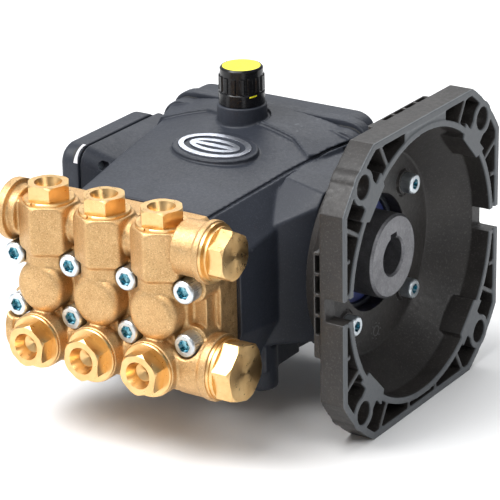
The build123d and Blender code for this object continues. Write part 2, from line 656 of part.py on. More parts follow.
# ---------------------------------------------------------------- manifold
def tower(x_cyl):
    """Hexagonal valve tower with a corner to the front, standing on the manifold."""
    hexagon = extrude(RegularPolygon(TOWER_R, 6), TOWER_TOP_Z - TOWER_LOW_Z)
    prism = Pos(x_cyl, TOWER_Y, TOWER_LOW_Z) * Rot(0, 0, 30) * hexagon
    prism = fillet(prism.edges().filter_by(Axis.Z), 3.0)
    prism = fillet(prism.faces().sort_by(Axis.Z)[0].edges(), 2.5)
    turned = rod_z(TOWER_R + 0.4, 0, TOWER_TOP_Z, x_cyl, TOWER_Y)
    prism &= chamfer(turned.edges().sort_by(Axis.Z)[-1], 3.4, 2.2)
    waist = rod_z(13.0, 6, 20, x_cyl, TOWER_Y + 0.8)
    back = block(x_cyl - 12.5, x_cyl + 12.5, TOWER_Y + 2, BLOCK_FRONT_Y + 2, 12, TOWER_TOP_Z - 3)
    return prism + waist + back


def manifold_block():
    plane = Plane(origin=(CYL_MID_X, CASE_FRONT_Y, 0), x_dir=(1, 0, 0), z_dir=(0, -1, 0))
    points = [
        (-BLOCK_HALF_X, 24), (-41, 39.3), (41, 39.3), (BLOCK_HALF_X, 24),
        (BLOCK_HALF_X, -25), (47, -41), (-47, -41), (-BLOCK_HALF_X, -25),
    ]
    outline = fillet(make_face(Polyline(*points, close=True)).vertices(), 3.0)
    return extrude(plane * outline, CASE_FRONT_Y - BLOCK_FRONT_Y)


PORT_RIGHT_X = -49.0
PORT_LEFT_X = -167.0
PORT_DEPTH = 10.5
DISCHARGE_PORT_R = 7.4
SUCTION_PORT_R = 9.3
DISCHARGE_PLUG_R = 7.9
SUCTION_PLUG_R = 9.9


def manifold():
    body = manifold_block()
    body += block(CYL_X[0] - 14, CYL_X[2] + 14, -113.0, BLOCK_FRONT_Y + 1, -22, 20)
    for x_cyl in CYL_X:
        body += tower(x_cyl)
        dome = rod_y(13.4, -124.5, BLOCK_FRONT_Y, x_cyl)
        dome = fillet(dome.edges().sort_by(Axis.Y)[0], 4.2)
        body += dome + block(x_cyl - 9.5, x_cyl + 9.5, -117.5, BLOCK_FRONT_Y, -24, 20)
        body += rod_y(14.2, SUCTION_FACE_Y, BLOCK_FRONT_Y + 1, x_cyl, SUCTION_Z)
        body += block(x_cyl - 12, x_cyl + 12, SUCTION_Y - 8, BLOCK_FRONT_Y, -40.5, -26)
    for x_screw in SCREW_X:
        for side in (-1, 1):
            body += rod_y(7.6, SCREW_SEAT_Y, BLOCK_FRONT_Y + 1, x_screw, side * SCREW_ROW_Z)
    body += rod_x(9.5, CYL_X[0], CYL_X[2], TOWER_Y + 3.8, DISCHARGE_Z - 2.5)
    body += rod_x(12.6, PORT_LEFT_X, CYL_X[0] - CAP_COLLAR_R, TOWER_Y, DISCHARGE_Z)
    body += rod_x(13.6, CYL_X[2] + CAP_COLLAR_R, PORT_RIGHT_X, TOWER_Y, DISCHARGE_Z)
    body += rod_x(15.4, PORT_RIGHT_X - 3.5, PORT_RIGHT_X, TOWER_Y, DISCHARGE_Z)
    body += rod_x(15.6, PORT_LEFT_X, PORT_LEFT_X + 4.5, TOWER_Y, DISCHARGE_Z)
    body += rod_x(13.2, PORT_LEFT_X, PORT_RIGHT_X, SUCTION_Y, SUCTION_Z)
    body += rod_x(16.0, CYL_X[2] + 11, PORT_RIGHT_X, SUCTION_Y, SUCTION_Z)
    body += rod_x(16.6, PORT_RIGHT_X - 4, PORT_RIGHT_X, SUCTION_Y, SUCTION_Z)
    body += rod_x(16.0, PORT_LEFT_X, CYL_X[0] - 11, SUCTION_Y, SUCTION_Z)
    body += rod_x(17.2, PORT_LEFT_X, PORT_LEFT_X + 4.5, SUCTION_Y, SUCTION_Z)
    body += block(CYL_X[2] + 8, -57, -108, BLOCK_FRONT_Y + 1, -22, 24)
    return manifold_cavities(body)


def manifold_cavities(body):
    for x_cyl in CYL_X:
        body -= rod_y(12.0, -100.5, CASE_FRONT_Y + 1, x_cyl)
        body -= rod_y(8.4, -121.6, -100, x_cyl)
        body -= rod_z(5.0, 0, 14, x_cyl, TOWER_Y)
        body -= rod_z(CAP_THREAD_R, 14, TOWER_TOP_Z + 1, x_cyl, TOWER_Y)
        body -= rod_y(CAP_THREAD_R, SUCTION_FACE_Y - 1, -112.5, x_cyl, SUCTION_Z)
        body -= rod_y(6.0, -113, SUCTION_Y, x_cyl, SUCTION_Z)
        body -= rod_z(4.0, SUCTION_Z, 0, x_cyl, -117.3)
    gallery_start = PORT_LEFT_X + PORT_DEPTH - 0.5
    gallery_end = PORT_RIGHT_X - PORT_DEPTH + 0.5
    body -= rod_x(5.2, gallery_start, gallery_end, TOWER_Y, DISCHARGE_Z - 2.5)
    body -= rod_x(7.6, gallery_start, gallery_end, SUCTION_Y + 3.0, SUCTION_Z)
    port_end = PORT_LEFT_X + PORT_DEPTH
    body -= rod_x(15.6, PORT_LEFT_X - 6, PORT_LEFT_X, TOWER_Y, DISCHARGE_Z)
    body -= rod_x(17.2, PORT_LEFT_X - 6, PORT_LEFT_X, SUCTION_Y, SUCTION_Z)
    body -= rod_x(DISCHARGE_PORT_R, PORT_LEFT_X - 1, port_end, TOWER_Y, DISCHARGE_Z)
    body -= rod_x(SUCTION_PORT_R, PORT_LEFT_X - 1, port_end, SUCTION_Y, SUCTION_Z)
    plug_end = PORT_RIGHT_X - PORT_DEPTH
    body -= rod_x(DISCHARGE_PLUG_R, plug_end, PORT_RIGHT_X + 1, TOWER_Y, DISCHARGE_Z)
    body -= rod_x(SUCTION_PLUG_R, plug_end, PORT_RIGHT_X + 1, SUCTION_Y, SUCTION_Z)
    for x_screw in SCREW_X:
        for side in (-1, 1):
            body -= rod_y(4.2, -130, CASE_FRONT_Y + 1, x_screw, side * SCREW_ROW_Z)
            body -= rod_y(6.5, -130, SCREW_SEAT_Y, x_screw, side * SCREW_ROW_Z)
    return body


def manifold_screws():
    screw = TO_MINUS_Y * socket_screw(5.7, 8.0, 3.95, 45.0, 6.0)
    places = [(x, z) for x in SCREW_X for z in (-SCREW_ROW_Z, SCREW_ROW_Z)]
    return [Pos(x, SCREW_SEAT_Y, z) * screw for x, z in places]


def valve_cap(collar_r):
    """Hexagon cap seen from outside along local +Z, seated on the local XY plane."""
    collar = Cylinder(collar_r, 1.5, align=(Align.CENTER, Align.CENTER, Align.MIN))
    collar = chamfer(collar.edges().sort_by(Axis.Z)[-1], 0.4)
    head = Pos(0, 0, 1.4) * hex_prism(CAP_AF, 7.4)
    thread = rod_z(CAP_THREAD_R - 0.02, -6.5, 0.1)
    recess = Pos(0, 0, 6.3) * Cone(4.6, 6.9, 5.2)
    cone = Pos(0, 0, 3.0) * Cone(0.4, 4.6, 1.6)
    pocket = Pos(0, 0, -7.0) * Cylinder(5.2, 2.5, align=(Align.CENTER, Align.CENTER, Align.MIN))
    return collar + head + thread - recess - cone - pocket


def cap_notch():
    return Pos(0, -CAP_COLLAR_R, 0.7) * Box(3.2, 1.6, 1.7)


def discharge_caps():
    cap = Rot(0, 0, 8) * valve_cap(CAP_COLLAR_R) - cap_notch()
    return [Pos(x, TOWER_Y, TOWER_TOP_Z) * cap for x in CYL_X]


def suction_caps():
    turns = (20.0, 24.0, 18.0)
    caps = []
    for x, turn in zip(CYL_X, turns):
        place = Pos(x, SUCTION_FACE_Y, SUCTION_Z) * TO_MINUS_Y
        caps.append(place * Rot(0, 0, turn) * valve_cap(SUCTION_COLLAR_R))
    return caps


def port_plug(across_flats, thread_r, flange_r, length):
    """Hexagon plug along local +Z, seated on the local XY plane."""
    base = Cylinder(flange_r, 2.0, align=(Align.CENTER, Align.CENTER, Align.MIN))
    head = Pos(0, 0, 1.9) * hex_prism(across_flats, length - 1.9)
    thread = Pos(0, 0, -9.5) * Cylinder(thread_r - 0.02, 9.6, align=(Align.CENTER, Align.CENTER, Align.MIN))
    return base + head + thread


def washer(outer, inner, thick):
    ring = Cylinder(outer, thick, align=(Align.CENTER, Align.CENTER, Align.MIN))
    return ring - Cylinder(inner, thick * 3)


PLUG_WASHER = 1.5


def discharge_plug():
    plug = port_plug(22.0, DISCHARGE_PLUG_R, 13.0, -37.5 - PORT_RIGHT_X - PLUG_WASHER)
    return Pos(PORT_RIGHT_X + PLUG_WASHER, TOWER_Y, DISCHARGE_Z) * TO_PLUS_X * plug


def suction_plug():
    plug = port_plug(27.0, SUCTION_PLUG_R, 15.0, -36.0 - PORT_RIGHT_X - PLUG_WASHER)
    return Pos(PORT_RIGHT_X + PLUG_WASHER, SUCTION_Y, SUCTION_Z) * TO_PLUS_X * Rot(0, 0, 14) * plug


def plug_washers():
    upper = washer(14.6, DISCHARGE_PLUG_R + 0.2, PLUG_WASHER)
    lower = washer(15.6, SUCTION_PLUG_R + 0.2, PLUG_WASHER)
    return [
        Pos(PORT_RIGHT_X, TOWER_Y, DISCHARGE_Z) * TO_PLUS_X * upper,
        Pos(PORT_RIGHT_X, SUCTION_Y, SUCTION_Z) * TO_PLUS_X * lower,
    ]


# ---------------------------------------------------------------- valves, local +Z is the flow direction
def valve_seat():
    """Seat ring and the slotted cage that guides the disc."""
    seat = ring_z(CAP_THREAD_R - 0.05, 4.0, 0, 3.5)
    cage = ring_z(CAP_THREAD_R - 0.05, 9.0, 3.4, 7.7)
    for i in range(4):
        cage -= Rot(0, 0, 45 + 90 * i) * Pos(10, 0, 5.3) * Box(8, 6, 2.6)
    return seat + cage


def valve_disc():
    disc = rod_z(7.0, 3.52, 5.3)
    return disc + rod_z(2.4, 5.2, 6.3)


def spring(length, radius, wire, turns):
    path = Helix(pitch=(length - 2 * wire) / turns, height=length - 2 * wire, radius=radius)
    section = Plane(origin=path @ 0, z_dir=path % 0) * Circle(wire)
    return Pos(0, 0, wire) * sweep(section, path=path)


def discharge_place(index):
    return Pos(CYL_X[index], TOWER_Y, 14.0)


def suction_place(index):
    return Pos(CYL_X[index], -112.5, SUCTION_Z) * TO_MINUS_Y


DISCHARGE_SPRING = 14.0 + 5.3
DISCHARGE_SPRING_END = TOWER_TOP_Z - 4.5
SUCTION_SPRING = 5.3
SUCTION_SPRING_END = 14.3 - 4.5


# ---------------------------------------------------------------- seals of the wet end
def high_pressure_packings():
    return [ring_y(11.95, PLUNGER_R + 0.05, -100.4, -95.0, x) for x in CYL_X]


def packing_rings():
    """Brass intermediate rings between the two water seals."""
    return [ring_y(11.95, PLUNGER_R + 0.3, -95.0, -90.0, x) for x in CYL_X]


def low_pressure_seals():
    return [ring_y(11.95, PLUNGER_R + 0.05, -90.0, -85.4, x) for x in CYL_X]


def oil_seals():
    return [ring_y(10.95, PLUNGER_R + 0.05, -78.0, -71.6, x) for x in CYL_X]


def shaft_seal():
    return ring_x(SEAL_R, HUB_R + RUN, DRIVE_BEARING["x1"], SEAL_FACE_X)


# ---------------------------------------------------------------- output
def save(name, shape):
    """Write one node; a list becomes a group of separate solids."""
    if isinstance(shape, list):
        solids = [solid for piece in shape for solid in piece.solids()]
        shape = Compound(children=solids)
    shape.label = name
    export_step(shape, os.path.join("parts", name + ".step"))


def main():
    os.makedirs("parts", exist_ok=True)
    save("motor_flange", motor_flange())
    save("flange_screws", flange_screws())
    save("crankcase", crankcase())
    save("badge_plate", badge_plate())
    save("rear_gasket", rear_gasket())
    save("rear_cover", rear_cover())
    save("side_cover", side_cover())
    save("cover_screws", rear_cover_screws() + side_cover_screws())
    save("rating_plate", rating_plate())
    glass_ring, glass = sight_glass()
    save("sight_glass_ring", glass_ring)
    save("sight_glass", glass)
    save("drain_plug", drain_plug())
    save("shaft_oil_seal", shaft_seal())
    save("crankshaft", crankshaft())
    for name, spec, balls in (("drive_bearing", DRIVE_BEARING, 9), ("end_bearing", END_BEARING, 9)):
        outer, inner, ball_set = bearing(spec, balls)
        save(name + "_outer", outer)
        save(name + "_inner", inner)
        save(name + "_balls", ball_set)
    for index in range(3):
        tag = "_" + str(index + 1)
        save("connecting_rod" + tag, connecting_rod(index))
        save("rod_cap_with_bolts" + tag, [rod_cap(index)] + rod_bolts(index))
        save("wrist_pin" + tag, wrist_pin(index))
        save("plunger_guide" + tag, plunger_guide(index))
        save("plunger_sleeve" + tag, plunger_sleeve(index))
        save("plunger_bolt" + tag, plunger_bolt(index))
        save("discharge_valve" + tag, discharge_place(index) * valve_disc())
        save("suction_valve" + tag, suction_place(index) * valve_disc())
    coil_up = spring(DISCHARGE_SPRING_END - DISCHARGE_SPRING, 3.9, 0.5, 7)
    coil_out = spring(SUCTION_SPRING_END - SUCTION_SPRING, 3.9, 0.5, 3)
    save("discharge_springs", [Pos(x, TOWER_Y, DISCHARGE_SPRING) * coil_up for x in CYL_X])
    save("suction_springs", [suction_place(i) * Pos(0, 0, SUCTION_SPRING) * coil_out for i in range(3)])
    seats = [place(i) * valve_seat() for place in (discharge_place, suction_place) for i in range(3)]
    save("valve_seats", seats)
    save("high_pressure_packings", high_pressure_packings())
    save("packing_rings", packing_rings())
    save("low_pressure_seals", low_pressure_seals())
    save("plunger_oil_seals", oil_seals())
    save("manifold", manifold())
    save("manifold_screws", manifold_screws())
    save("discharge_caps", discharge_caps())
    save("suction_caps", suction_caps())
    save("discharge_plug", discharge_plug())
    save("suction_plug", suction_plug())
    save("plug_washers", plug_washers())
    save("oil_cap", oil_cap())
    save("oil_cap_disc", oil_cap_disc())


main()
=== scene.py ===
import json
import math

import bmesh
import bpy
from mathutils import Matrix, Vector

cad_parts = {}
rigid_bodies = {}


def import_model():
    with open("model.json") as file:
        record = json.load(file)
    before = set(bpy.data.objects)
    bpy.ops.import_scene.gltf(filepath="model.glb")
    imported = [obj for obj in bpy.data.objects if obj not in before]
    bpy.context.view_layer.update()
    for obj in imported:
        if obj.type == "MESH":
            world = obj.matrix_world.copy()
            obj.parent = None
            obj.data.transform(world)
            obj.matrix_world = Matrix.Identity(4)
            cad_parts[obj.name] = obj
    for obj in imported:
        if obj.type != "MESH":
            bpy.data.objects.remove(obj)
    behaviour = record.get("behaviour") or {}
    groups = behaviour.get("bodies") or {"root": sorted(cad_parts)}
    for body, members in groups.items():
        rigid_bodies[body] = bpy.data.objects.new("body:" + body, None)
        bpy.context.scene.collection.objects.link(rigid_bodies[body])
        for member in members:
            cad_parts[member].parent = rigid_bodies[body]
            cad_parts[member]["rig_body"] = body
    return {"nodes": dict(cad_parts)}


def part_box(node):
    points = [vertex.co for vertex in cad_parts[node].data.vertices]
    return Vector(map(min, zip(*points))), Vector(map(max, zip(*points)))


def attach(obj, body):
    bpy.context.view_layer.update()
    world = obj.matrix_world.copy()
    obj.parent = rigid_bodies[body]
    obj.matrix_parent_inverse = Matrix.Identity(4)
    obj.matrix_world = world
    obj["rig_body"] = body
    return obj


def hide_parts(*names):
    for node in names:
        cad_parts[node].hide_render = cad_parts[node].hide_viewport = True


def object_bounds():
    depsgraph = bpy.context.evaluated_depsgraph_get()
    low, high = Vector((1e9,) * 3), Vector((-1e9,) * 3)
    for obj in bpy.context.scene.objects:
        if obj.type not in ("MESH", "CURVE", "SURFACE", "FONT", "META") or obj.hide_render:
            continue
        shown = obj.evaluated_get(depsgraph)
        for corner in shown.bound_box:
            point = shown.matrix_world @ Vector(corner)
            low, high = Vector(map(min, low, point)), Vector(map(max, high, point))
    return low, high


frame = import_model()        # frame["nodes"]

cad_low, cad_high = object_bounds()

MM = 0.001
NODES = frame["nodes"]


# ---------------------------------------------------------------- materials

class Surface:
    """One procedural finish: colour patches, speckle, uneven gloss and relief on a Principled shader."""

    def __init__(self, name, metallic=0.0, specular=0.5):
        self.material = bpy.data.materials.new(name)
        self.material.use_nodes = True
        self.tree = self.material.node_tree
        self.shader = self.tree.nodes["Principled BSDF"]
        self.shader.inputs["Metallic"].default_value = metallic
        self.shader.inputs["Specular IOR Level"].default_value = specular
        self.coords = self.node("ShaderNodeTexCoord").outputs["Object"]
        self.colour = None
        self.normal = None

    def node(self, kind):
        return self.tree.nodes.new(kind)

    def link(self, out, into):
        self.tree.links.new(out, into)

    def noise(self, grain_mm, detail=3.0, roughness=0.55, stretch=(1, 1, 1)):
        """Noise whose blobs are about grain_mm wide, 0 to 1."""
        source = self.coords
        if stretch != (1, 1, 1):
            mapping = self.node("ShaderNodeMapping")
            mapping.inputs["Scale"].default_value = stretch
            self.link(source, mapping.inputs["Vector"])
            source = mapping.outputs["Vector"]
        noise = self.node("ShaderNodeTexNoise")
        noise.inputs["Scale"].default_value = 1.0 / (grain_mm * MM)
        noise.inputs["Detail"].default_value = detail
        noise.inputs["Roughness"].default_value = roughness
        self.link(source, noise.inputs["Vector"])
        return noise.outputs["Fac"]

    def ranged(self, value, from_low, from_high, to_low, to_high):
        ranged = self.node("ShaderNodeMapRange")
        ranged.inputs["From Min"].default_value = from_low
        ranged.inputs["From Max"].default_value = from_high
        ranged.inputs["To Min"].default_value = to_low
        ranged.inputs["To Max"].default_value = to_high
        self.link(value, ranged.inputs["Value"])
        return ranged.outputs["Result"]

    def tint(self, value, low, high, first, second):
        """Colour from first to second as value goes from low to high; it mixes over the colour so far."""
        ramp = self.node("ShaderNodeValToRGB")
        ramp.color_ramp.elements[0].position = low
        ramp.color_ramp.elements[0].color = (*first, 1)
        ramp.color_ramp.elements[1].position = high
        ramp.color_ramp.elements[1].color = (*second, 1)
        self.link(value, ramp.inputs["Fac"])
        self.colour = ramp.outputs["Color"]
        return self

    def blend_colour(self, value, low, high, colour, amount=1.0):
        """Lays colour over the colour so far, where value is near high."""
        mix = self.node("ShaderNodeMix")
        mix.data_type = "RGBA"
        factor = self.ranged(value, low, high, 0.0, amount)
        self.link(factor, mix.inputs["Factor"])
        self.link(self.colour, mix.inputs["A"])
        mix.inputs["B"].default_value = (*colour, 1)
        self.colour = mix.outputs["Result"]
        return self

    def gloss(self, value, low, high, rough_low, rough_high):
        self.link(self.ranged(value, low, high, rough_low, rough_high), self.shader.inputs["Roughness"])
        return self

    def round_edges(self, radius_mm):
        """Shades sharp machined edges as if they were broken by radius_mm."""
        bevel = self.node("ShaderNodeBevel")
        bevel.samples = 4
        bevel.inputs["Radius"].default_value = radius_mm * MM
        self.normal = bevel.outputs["Normal"]
        return self

    def relief(self, value, height_mm, strength=1.0):
        bump = self.node("ShaderNodeBump")
        bump.inputs["Strength"].default_value = strength
        bump.inputs["Distance"].default_value = height_mm * MM
        self.link(value, bump.inputs["Height"])
        if self.normal is not None:
            self.link(self.normal, bump.inputs["Normal"])
        self.normal = bump.outputs["Normal"]
        return self

    def edges(self):
        """Pointiness: about 0.5 on flats, more on outer edges, less in inner corners."""
        return self.node("ShaderNodeNewGeometry").outputs["Pointiness"]

    def turned(self, axis, centre, sheen):
        """Turning marks round an axis through centre, which draw highlights out along the radius."""
        arm = self.node("ShaderNodeVectorMath")
        arm.operation = "SUBTRACT"
        self.link(self.coords, arm.inputs[0])
        arm.inputs[1].default_value = centre
        across = self.node("ShaderNodeVectorMath")
        across.operation = "CROSS_PRODUCT"
        self.link(arm.outputs["Vector"], across.inputs[0])
        across.inputs[1].default_value = axis
        along = self.node("ShaderNodeVectorMath")
        along.operation = "NORMALIZE"
        self.link(across.outputs["Vector"], along.inputs[0])
        self.link(along.outputs["Vector"], self.shader.inputs["Tangent"])
        self.shader.inputs["Anisotropic"].default_value = sheen
        return self

    def done(self):
        self.link(self.colour, self.shader.inputs["Base Color"])
        if self.normal is not None:
            self.link(self.normal, self.shader.inputs["Normal"])
        return self.material


def cast_brass():
    s = Surface("cast_brass", metallic=1.0)
    s.tint(s.noise(14.0), 0.3, 0.72, (0.55, 0.34, 0.15), (0.68, 0.44, 0.21))
    s.blend_colour(s.noise(0.7, 4.0, 0.7), 0.52, 0.68, (0.96, 0.70, 0.40), 0.7)
    s.blend_colour(s.noise(0.8, 4.0, 0.7, (1.3, 0.8, 1.1)), 0.54, 0.70, (0.28, 0.16, 0.06), 0.8)
    s.blend_colour(s.edges(), 0.53, 0.60, (0.98, 0.76, 0.44), 0.6)
    # Darker brown where pointiness is low, in the inner corners and creases: painted shade.
    s.blend_colour(s.edges(), 0.48, 0.40, (0.26, 0.15, 0.06), 0.5)
    s.gloss(s.noise(3.0), 0.3, 0.7, 0.40, 0.58)
    s.relief(s.noise(5.0), 0.25, 0.35)
    s.relief(s.noise(0.8, 4.0, 0.7), 0.2, 0.75)
    return s.done()


def turned_brass(name="turned_brass", axis=None, centre=None):
    s = Surface(name, metallic=1.0)
    s.tint(s.noise(9.0), 0.3, 0.7, (0.74, 0.46, 0.19), (0.88, 0.60, 0.28))
    s.blend_colour(s.noise(2.5, 4.0, 0.6), 0.55, 0.80, (0.58, 0.34, 0.13), 0.35)
    s.gloss(s.noise(3.0), 0.3, 0.7, 0.26, 0.38)
    s.relief(s.noise(1.2), 0.015, 0.3)
    if axis:
        s.turned(axis, centre, 0.8)
    return s.done()


def case_paint():
    s = Surface("case_paint", specular=0.34)
    s.tint(s.noise(30.0), 0.3, 0.7, (0.017, 0.020, 0.028), (0.025, 0.029, 0.040))
    s.blend_colour(s.noise(0.8, 4.0, 0.7), 0.54, 0.75, (0.075, 0.082, 0.105), 0.5)
    s.blend_colour(s.edges(), 0.52, 0.60, (0.10, 0.11, 0.125), 0.4)
    s.gloss(s.noise(1.5), 0.3, 0.7, 0.42, 0.54)
    s.relief(s.noise(9.0), 0.35, 0.25)
    s.relief(s.noise(0.9, 4.0, 0.65), 0.10, 0.45)
    return s.done()


def flange_plastic():
    """Black moulded plastic; the front face that meets the motor is painted paler than everything behind it,
    so the pockets and the dish keep a darker painted shade.
    """
    s = Surface("flange_plastic", specular=0.36)
    s.tint(s.noise(22.0), 0.3, 0.7, (0.017, 0.0155, 0.015), (0.030, 0.027, 0.025))
    s.blend_colour(s.noise(1.0, 4.0, 0.7), 0.53, 0.72, (0.085, 0.078, 0.074), 0.6)
    s.blend_colour(s.edges(), 0.52, 0.60, (0.16, 0.16, 0.16), 0.6)
    # Paler where X is near zero, on the front face; the recesses behind it keep the dark base colour as
    # painted shade.
    parts = s.node("ShaderNodeSeparateXYZ")
    s.link(s.coords, parts.inputs["Vector"])
    s.blend_colour(parts.outputs["X"], -0.9 * MM, -0.5 * MM, (0.105, 0.115, 0.125), 0.85)
    s.gloss(s.noise(2.5), 0.3, 0.7, 0.38, 0.52)
    s.relief(s.noise(12.0), 0.3, 0.25)
    s.relief(s.noise(0.9, 4.0, 0.65), 0.09, 0.5)
    return s.done()


def zinc_steel():
    s = Surface("zinc_steel", metallic=1.0).round_edges(0.3)
    s.tint(s.noise(3.0), 0.3, 0.7, (0.60, 0.66, 0.70), (0.76, 0.81, 0.84))
    s.gloss(s.noise(1.2), 0.3, 0.7, 0.30, 0.42)
    s.relief(s.noise(0.8), 0.02, 0.3)
    return s.done()


def zinc_socket():
    s = Surface("zinc_socket", metallic=1.0)
    s.tint(s.noise(1.6), 0.35, 0.65, (0.05, 0.24, 0.32), (0.30, 0.58, 0.66))
    s.gloss(s.noise(1.0), 0.3, 0.7, 0.16, 0.30)
    return s.done()


def ground_steel():
    s = Surface("ground_steel", metallic=0.75).round_edges(0.4)
    s.tint(s.noise(5.0), 0.3, 0.7, (0.13, 0.13, 0.14), (0.19, 0.19, 0.20))
    s.blend_colour(s.noise(0.9, 4.0, 0.7), 0.5, 0.75, (0.34, 0.34, 0.35), 0.5)
    s.gloss(s.noise(2.0), 0.3, 0.7, 0.32, 0.46)
    s.turned((1, 0, 0), (0, 0, 0), 0.5)
    s.relief(s.noise(0.7), 0.03, 0.3)
    return s.done()


def simple(name, dark, light, metallic, rough, grain_mm=1.0, patch_mm=6.0, height_mm=0.04):
    """A plainer finish for the small and the hidden pieces."""
    s = Surface(name, metallic=metallic).round_edges(0.25)
    s.tint(s.noise(patch_mm), 0.3, 0.7, dark, light)
    s.gloss(s.noise(grain_mm * 2), 0.3, 0.7, rough - 0.06, rough + 0.08)
    s.relief(s.noise(grain_mm), height_mm, 0.4)
    return s.done()


def cap_plastic():
    s = Surface("cap_plastic", specular=0.28).round_edges(0.25)
    s.tint(s.noise(5.0), 0.3, 0.7, (0.005, 0.005, 0.006), (0.010, 0.010, 0.012))
    s.gloss(s.noise(1.6), 0.3, 0.7, 0.16, 0.26)
    s.relief(s.noise(0.8), 0.03, 0.4)
    return s.done()


def sight_plastic():
    s = Surface("sight_plastic", specular=0.6)
    s.tint(s.noise(7.0), 0.3, 0.7, (0.55, 0.42, 0.18), (0.75, 0.64, 0.38))
    s.gloss(s.noise(2.0), 0.3, 0.7, 0.05, 0.14)
    s.shader.inputs["Transmission Weight"].default_value = 0.25
    return s.done()


FINISHES = {
    "brass_cast": cast_brass(),
    "brass_turned": turned_brass(),
    "case_paint": case_paint(),
    "flange_plastic": flange_plastic(),
    "zinc_steel": zinc_steel(),
    "zinc_socket": zinc_socket(),
    "ground_steel": ground_steel(),
    "bearing_steel": simple("bearing_steel", (0.62, 0.62, 0.64), (0.76, 0.76, 0.78), 1.0, 0.16),
    "blue_rubber": simple("blue_rubber", (0.008, 0.018, 0.12), (0.014, 0.030, 0.19), 0.0, 0.5),
    "black_rubber": simple("black_rubber", (0.012, 0.012, 0.012), (0.022, 0.022, 0.022), 0.0, 0.55),
    "gasket_paper": simple("gasket_paper", (0.03, 0.03, 0.03), (0.06, 0.06, 0.055), 0.0, 0.75),
    "rod_aluminium": simple("rod_aluminium", (0.60, 0.60, 0.61), (0.74, 0.74, 0.75), 1.0, 0.38),
    "ceramic": simple("ceramic", (0.86, 0.84, 0.80), (0.93, 0.91, 0.87), 0.0, 0.12),
    "packing_fabric": simple("packing_fabric", (0.10, 0.075, 0.05), (0.17, 0.13, 0.09), 0.0, 0.7, 0.5),
    "cap_plastic": cap_plastic(),
    "yellow_plastic": simple(
        "yellow_plastic", (0.80, 0.72, 0.01), (0.92, 0.86, 0.03), 0.0, 0.38, 0.6, 4.0, 0.08),
    "sight_plastic": sight_plastic(),
    "silver_inlay": simple("silver_inlay", (0.40, 0.42, 0.47), (0.54, 0.56, 0.62), 1.0, 0.38, 0.6, 5.0, 0.05),
    "paper_white": simple("paper_white", (0.60, 0.59, 0.63), (0.70, 0.69, 0.73), 0.0, 0.6),
    "valve_plastic": simple("valve_plastic", (0.10, 0.11, 0.12), (0.16, 0.17, 0.19), 0.0, 0.35),
}

for node in NODES.values():
    for slot in node.material_slots:
        slot_name = slot.material.name.split(".")[0]
        slot.material = FINISHES[slot_name]


def box_middle(node):
    low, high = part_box(node)
    return (low + high) / 2


for plug in ("discharge_plug", "suction_plug"):
    finish = turned_brass("turned_" + plug, (1, 0, 0), tuple(box_middle(plug)))
    for slot in NODES[plug].material_slots:
        slot.material = finish


# ---------------------------------------------------------------- small pieces

def add_piece(name, verts, faces, finish, body, smooth=False):
    """A mesh piece in the row frame that rides on a CAD body."""
    mesh = bpy.data.meshes.new(name)
    mesh.from_pydata(verts, [], faces)
    mesh.materials.append(finish)
    for polygon in mesh.polygons:
        polygon.use_smooth = smooth
    mesh.update()
    piece = bpy.data.objects.new(name, mesh)
    bpy.context.scene.collection.objects.link(piece)
    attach(piece, body)


def islands(node):
    """Boxes (low, high) of the separate solids in one CAD node."""
    welded = bmesh.new()
    welded.from_mesh(NODES[node].data)
    bmesh.ops.remove_doubles(welded, verts=welded.verts, dist=0.002 * MM)
    seen = set()
    boxes = []
    for start in welded.verts:
        if start in seen:
            continue
        seen.add(start)
        group, queue = [], [start]
        while queue:
            vertex = queue.pop()
            group.append(vertex.co)
            for edge in vertex.link_edges:
                other = edge.other_vert(vertex)
                if other not in seen:
                    seen.add(other)
                    queue.append(other)
        low = Vector(min(c[i] for c in group) for i in range(3))
        high = Vector(max(c[i] for c in group) for i in range(3))
        boxes.append((low, high))
    welded.free()
    return boxes


SOCKET_TURN = 30.0


def socket_liners(name, node, across_flats, outward):
    """Thin hexagonal cups that line the sockets of a row of cap screws with a blue zinc tint."""
    out = Vector(outward)
    side = out.orthogonal().normalized()
    other = out.cross(side)
    radius = (across_flats - 0.16) / math.sqrt(3) * MM
    verts, faces = [], []
    for low, high in islands(node):
        middle = (low + high) / 2
        reach = max((high - middle).dot(out), (low - middle).dot(out))
        mouth = middle + out * (reach - 0.25 * MM)
        first = len(verts)
        for depth, scale in ((0, 1.0), (2.4 * MM, 1.0), (2.9 * MM, 0.3)):
            for k in range(6):
                angle = math.radians(60 * k + SOCKET_TURN)
                arm = side * math.cos(angle) + other * math.sin(angle)
                verts.append(mouth - out * depth + arm * radius * scale)
        for ring in (0, 6):
            for k in range(6):
                n = (k + 1) % 6
                faces.append((first + ring + k, first + ring + n, first + ring + 6 + n, first + ring + 6 + k))
        faces.append(tuple(first + 12 + k for k in range(6)))
    add_piece(name, verts, faces, FINISHES["zinc_socket"], "housing")


socket_liners("manifold_sockets", "manifold_screws", 6.0, (0, -1, 0))
socket_liners("flange_sockets", "flange_screws", 5.0, (1, 0, 0))


KNURL_RIBS = 34


def knurls(name, node, head_r, head_h, outward):
    """Fine ribs round the heads of a row of cap screws."""
    out = Vector(outward)
    side = out.orthogonal().normalized()
    other = out.cross(side)
    pitch = math.tau / KNURL_RIBS
    verts, faces = [], []
    for low, high in islands(node):
        middle = (low + high) / 2
        top = max((high - middle).dot(out), (low - middle).dot(out))
        for k in range(KNURL_RIBS):
            first = len(verts)
            for depth in (1.0, head_h - 0.1):
                for turn, radius in ((-0.42, head_r - 0.08), (0.0, head_r + 0.17), (0.42, head_r - 0.08)):
                    angle = (k + turn) * pitch
                    arm = side * math.cos(angle) + other * math.sin(angle)
                    verts.append(middle + out * (top - depth * MM) + arm * radius * MM)
            faces += [
                (first, first + 1, first + 4, first + 3),
                (first + 1, first + 2, first + 5, first + 4),
                (first, first + 2, first + 1),
                (first + 3, first + 4, first + 5),
            ]
    add_piece(name, verts, faces, FINISHES["zinc_steel"], "housing")


